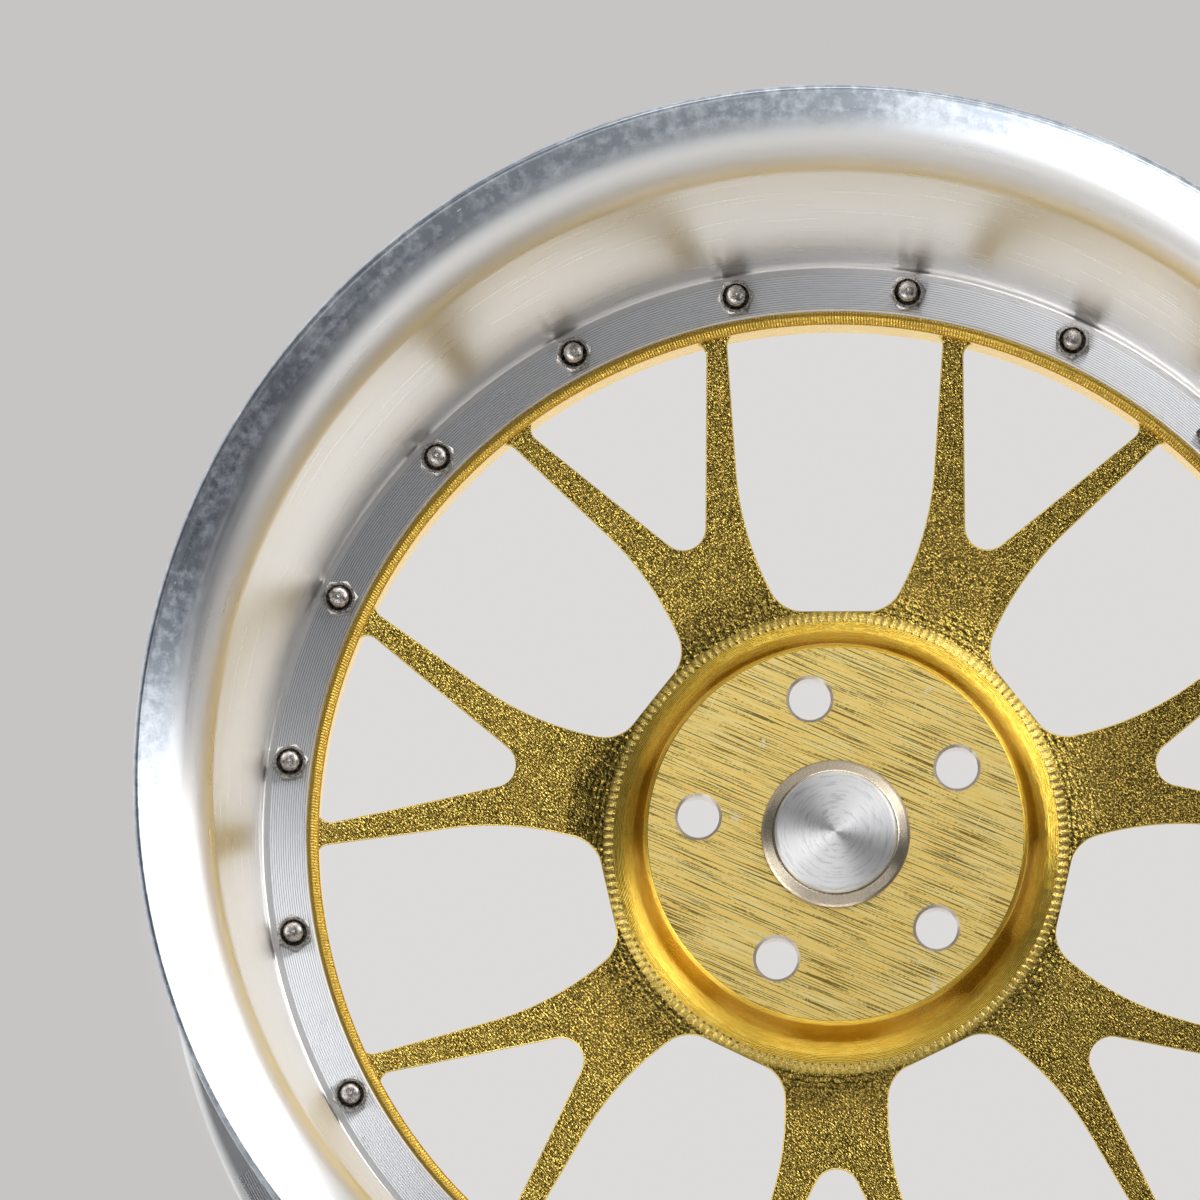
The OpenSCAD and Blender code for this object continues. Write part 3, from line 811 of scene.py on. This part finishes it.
def web_face(windows, r0, r1, grid=4.0):
    """Triangles of the web between two radii, with its windows left open."""
    points, edges = [], []
    for loop in windows + [circle(r0, RIM_STEPS), circle(r1, RIM_STEPS)]:
        first = len(points)
        points += loop
        edges += [(first + i, first + (i + 1) % len(loop)) for i in range(len(loop))]
    cells = {}
    for px, py in points:
        cells.setdefault((int(px // CELL), int(py // CELL)), []).append((px, py))
    rows = int(r1 / grid)
    for i in range(-rows, rows + 1):
        for j in range(-rows, rows + 1):
            x, z = (i + 0.5 * (j % 2)) * grid, j * grid * 0.866
            r = hypot(x, z)
            if r0 + 2 < r < r1 - 2 and all(hypot(x - px, z - py) > 1.6 for px, py in near(cells, x, z)):
                points.append((x, z))
    corners, _, triangles = delaunay_2d_cdt([Vector(p) for p in points], edges, [], 0, 1e-5)[:3]
    faces = []
    for face in triangles:
        cx = sum(corners[i].x for i in face) / len(face)
        cz = sum(corners[i].y for i in face) / len(face)
        if r0 < hypot(cx, cz) < r1 and not any(inside(w, cx, cz) for w in windows):
            faces.append(tuple(face))
    used = sorted({i for face in faces for i in face})
    new = {old: i for i, old in enumerate(used)}
    return [tuple(corners[i]) for i in used], [tuple(new[i] for i in face) for face in faces]


def add_web(shape):
    """Spokes and hub root: a front face, rounded edges, drafted walls and a back face."""
    r0, r1 = 79.0, RING_R + 1.5
    outlines = []
    for i in range(SPOKE_COUNT):
        angle = SPOKE_ANGLE + i * 360 / SPOKE_COUNT
        outlines += [spin(fork_window(), angle), spin(spoke_window(), angle + 180 / SPOKE_COUNT)]
    sides = [(EDGE_ROUND, front_y, ON_MILLED), (WALL_LEAN + BACK_ROUND, back_y, ON_SMOOTH)]
    for grown, height, mark in sides:
        verts, faces = web_face([widened(w, grown) for w in outlines], r0, r1)
        shape.add([(x, height(hypot(x, z)), z) for x, z in verts], faces, mark)
    for w in outlines:
        rings = []
        for k in range(5):
            t = pi / 2 * k / 4
            ring = widened(w, EDGE_ROUND * (1 - sin(t)))
            rings.append([(x, front_y(hypot(x, z)) + EDGE_ROUND * (1 - cos(t)), z) for x, z in ring])
        for share in (0.33, 0.66, 1.0):
            ring = []
            for x, z in widened(w, WALL_LEAN * share):
                top, bottom = front_y(hypot(x, z)) + EDGE_ROUND, back_y(hypot(x, z)) - BACK_ROUND
                ring.append((x, top + share * (bottom - top), z))
            rings.append(ring)
        for k in range(1, 4):
            t = pi / 2 * k / 3
            ring = widened(w, WALL_LEAN + BACK_ROUND * (1 - cos(t)))
            rings.append([(x, back_y(hypot(x, z)) - BACK_ROUND * (1 - sin(t)), z) for x, z in ring])
        # The rounded edge's outer three strips take the tooth gold, whose pale band paints highlight lines
        # along the windows.
        marks = [ON_MILLED] + [ON_CUSPS_AND_EDGE_HIGHLIGHT] * 3 + [ON_SMOOTH] * 6
        shape.add([p for ring in rings for p in ring], tube_faces(len(rings), len(w)),
                  [mark for mark in marks for i in w])
    for r in (r0, r1):
        ends = [(x, height(r), z) for height in (front_y, back_y) for x, z in circle(r, RIM_STEPS)]
        shape.add(ends, tube_faces(2, RIM_STEPS), ON_SMOOTH)


def hub_profile():
    """Closed section of the hub: ground face, rounded edge, step, deep cove, and the pocket behind."""
    edge = rounded([(23, HUB_FACE_Y, 0.3), (HUB_R, HUB_FACE_Y, 0.3), (69.7, 1.15, 0.5), (69.75, 1.9, 0.1),
                    (69.45, 2.1, 0.1), (69.55, 2.6)], 3)[:-1]
    cove = smooth_line([(69.55, 2.6), (70.1, 9), (71.2, 15.5), (72.8, 19.8), (74.6, 22.0), (77, 23.75),
                        (79, 24.45), (TOOTH_R0, 24.9)], 6)
    rear = rounded([(82, 26.8), (79.8, 28), (79.8, 40.5), (76, 40.5, 1.0), (69, 37, 1.5), (66, 12, 1.5),
                    (29.05, 12), (28.05, 11), (28.05, CAP_BACK + 0.2), (23, CAP_BACK + 0.2)], 5)
    return edge + cove + rear


def add_teeth(shape):
    """Cusps that the ball mill leaves round the foot of the hub: small bowls with sharp ridges."""
    per_tooth, rows = 10, 8
    steps = TEETH * per_tooth
    verts = []
    for i in range(steps):
        a = 2 * pi * i / steps
        across = 2 * (i % per_tooth) / per_tooth - 1
        ridge = across * across
        size = 0.42 * (1 + 0.25 * sin(11 * a) + 0.15 * sin(29 * a))
        for k in range(rows):
            share = k / (rows - 1)
            r = TOOTH_R0 + (TOOTH_R1 - TOOTH_R0) * share - (0.3 * ridge if k == 0 else 0)
            y = 24.8 + 1.02 * share ** 0.8 - size * ridge * sin(pi * share) ** 0.6
            verts.append(around(r, a, y))
    faces = [(i * rows + k, i * rows + k + 1, (i + 1) % steps * rows + k + 1, (i + 1) % steps * rows + k)
             for i in range(steps) for k in range(rows - 1)]
    shape.add(verts, faces, ON_CUSPS_AND_EDGE_HIGHLIGHT)


def make_hub():
    """The hub, with no gold left in its stud holes."""
    def paint(a, b):
        return ON_BRUSHED if max(a[1], b[1]) < HUB_FACE_Y + 0.02 else ON_SMOOTH

    piece = Shape(*turned(hub_profile(), 240, paint)).build("hub_part", DISC_PAINTS, 25)
    r = STUD_HOLE_R
    hole = turned([(0, -2), (r + 1.1, -2), (r + 1.1, -0.02), (r, 1.0), (r, 11.0), (r + 1.5, 12.6),
                   (r + 1.5, 14), (0, 14)], 64)
    holes = Shape()
    for i in range(STUD_COUNT):
        holes.add(*hole, bolt_frame(STUD_ANGLE + i * 360 / STUD_COUNT, STUD_CIRCLE_R))
    cut(piece, holes)
    studs = [around(STUD_CIRCLE_R, radians(STUD_ANGLE + i * 360 / STUD_COUNT), 0) for i in range(STUD_COUNT)]
    for face in piece.data.polygons:
        x, y, z = face.center / MM
        if y > 0.02 and any(hypot(x - sx, z - sz) < STUD_HOLE_R + 1.05 for sx, _, sz in studs):
            face.material_index = ON_BARE
    return piece


def make_disc():
    def paint(a, b):
        return ON_HATCHED if max(a[1], b[1]) < DISC_RING_FRONT + 1.1 else ON_SMOOTH

    hub_piece = make_hub()
    ring_profile = rounded([
        (RING_R, DISC_RING_FRONT + 0.9, 0.15), (RING_R + 0.4, DISC_RING_FRONT + 0.38, 0.3),
        (RING_R + 1.5, DISC_RING_FRONT, 0.3), (TUBE_R - 0.4, DISC_RING_FRONT), (TUBE_R - 0.4, DISC_RING_BACK),
        (FLANGE_BORE_R - 0.2, DISC_RING_BACK), (FLANGE_BORE_R - 0.2, 27.5), (FLANGE_BORE_R - 1.0, 28.3),
        (RING_R, 28.3, 0.4)], 3)
    ring_piece = Shape(*turned(ring_profile, FINE_STEPS, paint)).build("ring_part", DISC_PAINTS, 25)
    cut(ring_piece, bolt_hole_cutter(DISC_RING_FRONT - 1, DISC_RING_BACK + 1))
    web = Shape()
    add_web(web)
    add_teeth(web)
    disc = web.build("forged_centre_disc", DISC_PAINTS, 40)
    join(disc, [hub_piece, ring_piece])
    weighted_normals(disc)
    settle(disc, "wheel", "disc_gold", "centre_disc")


def join(piece, others):
    """Puts the other pieces' meshes into this one. All of them hold the same list of materials."""
    work = bmesh.new()
    work.from_mesh(piece.data)
    for other in others:
        work.from_mesh(other.data)
        bpy.data.objects.remove(other)
    work.to_mesh(piece.data)
    work.free()


# ---- Fasteners ----


def hex_body(flats, y0, y1, chamfer_front, chamfer_back, bore=None, steps=72):
    """A hexagon prism with turned chamfers, as sections that each run from its bore outwards and back."""
    face_r = flats / 2 * 0.965
    slope = tan(radians(28))
    verts = []
    for i in range(steps):
        a = 2 * pi * i / steps
        r = flats / 2 / cos((a + pi / 6) % (pi / 3) - pi / 6) - 0.06
        rise = max(0.0, r - face_r) * slope
        front, back = y0 + rise * chamfer_front, y1 - rise * chamfer_back
        section = [(face_r - 0.15, y0), (face_r, y0 + 0.03), (r - 0.12, front - 0.02), (r, front + 0.12),
                   (r, back - 0.12), (r - 0.12, back), (face_r, y1)]
        section = (bore or [(0.0, y0)]) + section + [(bore[0][0] if bore else 0.0, y1)]
        verts += [around(r, a, y) for r, y in section]
    return verts, ring_faces(steps, len(section))


def thread(r, y0, y1, pitch, depth, steps=40, per_pitch=8):
    """Side wall of a threaded bar: a true helix, in rows of points along the bar."""
    rows = int((y1 - y0) / pitch * per_pitch) + 1
    verts = []
    for j in range(rows):
        y = y0 + (y1 - y0) * j / (rows - 1)
        fade = min(1.0, (y - y0) / 0.5)
        for i in range(steps):
            phase = (y / pitch - i / steps) % 1.0
            valley = 1 - abs(2 * phase - 1)
            verts.append(around(r - depth * valley * fade, 2 * pi * i / steps, y))
    return verts, tube_faces(rows, steps)


def bolt_end(r, y, steps):
    """Chamfered, slightly domed end of a bolt, as rings that close on the axis."""
    rings = [(r, y + 0.95), (r - 0.3, y + 0.6), (r - 0.75, y + 0.35), (r - 1.4, y + 0.14),
             (r - 2.2, y + 0.02), (0.6, y), (0.3, y + 0.16), (0.0, y + 0.2)]
    verts = [around(rr, 2 * pi * i / steps, yy) for rr, yy in rings for i in range(steps)]
    return verts, tube_faces(len(rings), steps)


def make_fasteners():
    nuts, bolts, washers = Shape(), Shape(), Shape()
    bore = BOLT_R + 0.05
    nut_bore = [(bore, NUT_BACK), (bore, NUT_FRONT + 2.9), (bore + 0.8, NUT_FRONT + 2.4),
                (bore + 1.1, NUT_FRONT + 0.4), (bore + 1.3, NUT_FRONT)]
    nut = hex_body(NUT_FLATS, NUT_FRONT, NUT_BACK, 0.6, 0.6, nut_bore)
    steps, shank_r = 40, BOLT_R - 0.1
    shank = turned([(0, NUT_FRONT + 2.2), (shank_r, NUT_FRONT + 2.2), (shank_r, WASHER_BACK + 0.2),
                    (0, WASHER_BACK + 0.2)], steps)
    bolt_parts = [bolt_end(BOLT_R - 0.05, BOLT_FRONT, steps),
                  thread(BOLT_R - 0.02, BOLT_FRONT + 0.8, NUT_FRONT + 2.4, 1.0, 0.32, steps),
                  hex_body(NUT_FLATS, WASHER_BACK, BOLT_BACK, 0.2, 1)]
    washer = turned(rounded([
        (BOLT_HOLE_R, WASHER_FRONT), (WASHER_R, WASHER_FRONT, 0.2), (WASHER_R, WASHER_BACK, 0.3),
        (BOLT_HOLE_R, WASHER_BACK)], 2), 48)
    for i in range(BOLT_COUNT):
        spot = at_bolt(i)
        nuts.add(*nut, place=spot @ Matrix.Rotation(random.uniform(0, pi / 3), 4, "Y"))
        bolt_spot = spot @ Matrix.Rotation(random.uniform(0, 2 * pi), 4, "Y")
        for part in bolt_parts:
            bolts.add(*part, place=bolt_spot)
        bolts.add(*shank, spot)
        washers.add(*washer, spot)
    for shape, name, steel, node in [(nuts, "flange_nuts", FASTENER, "assembly_nuts"),
                                     (bolts, "flange_bolts", BOLT_STEEL, "assembly_bolts"),
                                     (washers, "flange_washers", FASTENER, "bolt_washers")]:
        settle(shape.build(name, [steel], 24), "wheel", "steel", node)


# ---- Centre cap and valve ----


def make_cap():
    face_r, shank_r, o_ring_y, o_ring_r = 22.0, 22.7, 3.4, 1.25
    groove_r = 21.65 - o_ring_r - 0.02
    face = []
    r = 0.6
    while r < face_r - 1.2:
        face += [(r, CAP_FRONT + 0.03), (r + random.uniform(0.15, 0.3), CAP_FRONT)]
        r += random.uniform(0.5, 1.1)
    profile = [(0, CAP_FRONT + 0.03)] + face + rounded([
        (face_r - 1.0, CAP_FRONT + 0.02), (face_r - 0.8, CAP_FRONT + 0.02, 0.2),
        (face_r, CAP_FRONT + 0.8, 0.2), (face_r, -4, 0.15), (face_r - 0.8, -3.8, 0.1),
        (face_r - 0.8, -3.3, 0.1), (face_r + 0.8, -3.1, 0.3),
        (CAP_R - 0.9, -1.3, 0.4), (CAP_R - 0.1, -0.7, 0.2), (CAP_R - 0.02, -0.1, 0.1), (shank_r, -0.1),
        (shank_r, o_ring_y - o_ring_r - 0.15), (groove_r, o_ring_y - o_ring_r - 0.15),
        (groove_r, o_ring_y + o_ring_r + 0.15), (shank_r, o_ring_y + o_ring_r + 0.15),
        (shank_r, CAP_BACK - 0.6), (shank_r - 0.6, CAP_BACK), (17.5, CAP_BACK, 0.3), (17.5, -4.5, 1.0),
        (0, -4.5)], 3)
    shape = Shape(*turned(profile, 180, lambda a, b: int(min(a[0], b[0]) > face_r - 1.1 and a[1] > -5)))
    piece = shape.build("turned_centre_cap", [CAP, CAP_SIDE], 30)
    weighted_normals(piece)
    settle(piece, "hub_cap", "cap_turned", "centre_cap")


def around_valve(r, angle, z):
    return r * cos(angle), VALVE_Y + r * sin(angle), z


def make_dust_cap():
    """Knurled dust cap of the tyre valve, as rings from its hollow over the outside to its top."""
    z0, z1 = low_high("valve_cap", 2)
    r = low_high("valve_cap", 0)[1]
    steps, rows, knurls = 144, 26, 18
    hollow_r, hollow_z, edge_round, knurl_margin, knurl_depth = 3.95, -179.0, 0.9, 1.6, 0.28
    angles = [2 * pi * i / steps for i in range(steps)]
    verts = []
    for rr, z in [(0.0, hollow_z), (hollow_r, hollow_z), (hollow_r, z0)]:
        verts += [around_valve(rr, a, z) for a in angles]
    for j in range(rows):
        share = j / (rows - 1)
        edge = min(share, 1 - share) * (z1 - z0)
        base = r - max(0, edge_round - edge) ** 2 * 0.9
        depth = knurl_depth if edge > knurl_margin else 0.0
        verts += [around_valve(base - depth * (1 - abs(sin(knurls * a))), a, z0 + (z1 - z0) * share)
                  for a in angles]
    for rr in (r - 1.6, 0.0):
        verts += [around_valve(rr, a, z1) for a in angles]
    shape = Shape(verts, tube_faces(rows + 5, steps))
    settle(shape.build("knurled_dust_cap", [NICKEL], 40), "dust_cap", "valve_metal", "valve_cap")


def make_spring():
    """Coil spring under the valve pin's collar, which on the real valve shortens as the pin is pressed."""
    low, high = low_high("valve_core_spring", 2)
    wire, coil, turns, steps, sides = 0.16, 1.1, 5, 40, 12
    verts = []
    for i in range(turns * steps + 1):
        z = low + wire + (high - low - 2 * wire) * (i / (turns * steps))
        for j in range(sides):
            b = 2 * pi * j / sides
            verts.append(around_valve(coil + wire * cos(b), 2 * pi * i / steps, z + wire * sin(b)))
    last = turns * steps * sides
    faces = tube_faces(turns * steps + 1, sides) + [tuple(range(sides)), tuple(range(last, last + sides))]
    piece = Shape(verts, faces).build("valve_spring_coil", [NICKEL], 50)
    settle(piece, "wheel", "valve_metal", "valve_core_spring")
    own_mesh(piece)


def paint_cad(paint, slot, *nodes):
    """A CAD node whose shape is right keeps its mesh and takes a better material."""
    for name in nodes:
        node = NODES[name]
        node.data.materials.clear()
        node.data.materials.append(paint)


make_lip()
make_barrel()
make_seal()
make_disc()
make_fasteners()
make_cap()
make_dust_cap()
make_spring()
paint_cad(RUBBER, "rubber", "cap_o_ring", "valve_grommet", "valve_core_seal", "valve_cap_gasket")
paint_cad(NICKEL, "valve_metal", "valve_body", "valve_washer", "valve_nut")
paint_cad(BRASS, "brass", "valve_core_body", "valve_core_pin")
paint_cad(PTFE, "ptfe", "valve_core_gasket")


# ---- Studio ----


CAMERA_WAY = (0.834, -7.643)
CAMERA_DISTANCE = 8.1008
CAMERA_PAN = (-0.08515, 0.08449)
LENS = 672.8
LAMP_DISTANCE = 2.2


def direction(azimuth, elevation):
    """Unit vector from the wheel. Azimuth 0 is towards -Y and 90 towards +X."""
    a, e = radians(azimuth), radians(elevation)
    return Vector((sin(a) * cos(e), -cos(a) * cos(e), sin(e)))


def make_floor():
    """Round pale floor that the rim stands on."""
    floor_r, ground = 780.0, -EDGE_R - 0.05
    shape = Shape(*turned(rounded([(0, 0), (floor_r, 0, 4), (floor_r, -20, 4), (0, -20)]), 128))
    shape.verts = [(x, z, ground + y) for x, y, z in shape.verts]
    made, n = material("pale_floor", (0.74, 0.74, 0.73), 0.55, 0.0)
    spot = n.place()[0]
    cloud = n.noise(spot, 0.01, 3)
    n.set("Base Color", n.mix(cloud, (0.72, 0.72, 0.71), (0.78, 0.78, 0.77)))
    shape.build("studio_floor", [made])


def soft_light(name, azimuth, elevation, size, radiance):
    """Square area light that faces the wheel and that the camera doesn't see."""
    data = bpy.data.lights.new(name, "AREA")
    data.shape = "SQUARE"
    data.size = size
    data.energy = radiance * pi * size * size
    lamp = bpy.data.objects.new(name, data)
    towards = direction(azimuth, elevation)
    lamp.location = towards * LAMP_DISTANCE
    lamp.rotation_euler = towards.to_track_quat("Z", "Y").to_euler()
    lamp.visible_camera = False
    bpy.context.scene.collection.objects.link(lamp)


def camera_place():
    out = direction(*CAMERA_WAY)
    return out * CAMERA_DISTANCE + out.to_track_quat("Z", "Y") @ Vector((*CAMERA_PAN, 0))


def make_world():
    """Pale backdrop for the camera, with a painted pool of light straight behind the wheel; a dim front and a
    bright rear for light and reflections.
    """
    world = bpy.data.worlds.new("studio")
    bpy.context.scene.world = world
    world.use_nodes = True
    tree = world.node_tree
    n = Nodes(tree)
    backdrop = tree.nodes["Background"].outputs[0]
    way = n.add("ShaderNodeTexCoord", output=0)
    ahead = tuple((-camera_place()).normalized())
    off = n.add("ShaderNodeVectorMath", {0: way, 1: ahead}, 1, operation="DISTANCE")
    # Painted pool of light: the backdrop seen straight past the wheel, through its windows, is lighter than
    # the rest.
    painted_light_pool = n.mix(n.ramp(off, 0.0245, 0.0315), (0.723, 0.712, 0.70), (0.565, 0.557, 0.552))
    tree.links.new(painted_light_pool, tree.nodes["Background"].inputs[0])
    _, y, z = n.split(way)
    rear = n.ramp(y, -0.5, 0.35)
    above = n.ramp(z, -0.3, 0.9)
    dim = n.mix(above, (0.035, 0.037, 0.042), (0.06, 0.06, 0.06))
    light = n.mix(rear, dim, (0.97, 0.96, 0.94))
    studio = n.add("ShaderNodeBackground", {"Color": light, "Strength": 1.0})
    seen = n.add("ShaderNodeLightPath", output=0)
    mixed = n.add("ShaderNodeMixShader", {0: seen, 1: studio, 2: backdrop})
    tree.links.new(mixed, tree.nodes["World Output"].inputs[0])


def make_camera():
    """Long lens from just below the axis, framed on the upper left of the wheel."""
    data = bpy.data.cameras.new("camera")
    data.sensor_width = 36.0
    data.lens = LENS
    data.clip_end = 100.0
    camera = bpy.data.objects.new("camera", data)
    camera.rotation_euler = direction(*CAMERA_WAY).to_track_quat("Z", "Y").to_euler()
    camera.location = camera_place()
    bpy.context.scene.collection.objects.link(camera)
    bpy.context.scene.camera = camera


make_floor()
make_world()
for lamp in [("key", 38, 21, 1.2, 3.8), ("key_side", 75, 25, 1.2, 1.7), ("fill", -24, -29, 1.3, 4.8),
             ("above", 0, 45, 1.2, 2.2), ("front", 0, 10, 1.2, 0.18)]:
    soft_light(*lamp)
make_camera()
bpy.context.scene.view_settings.view_transform = "Standard"
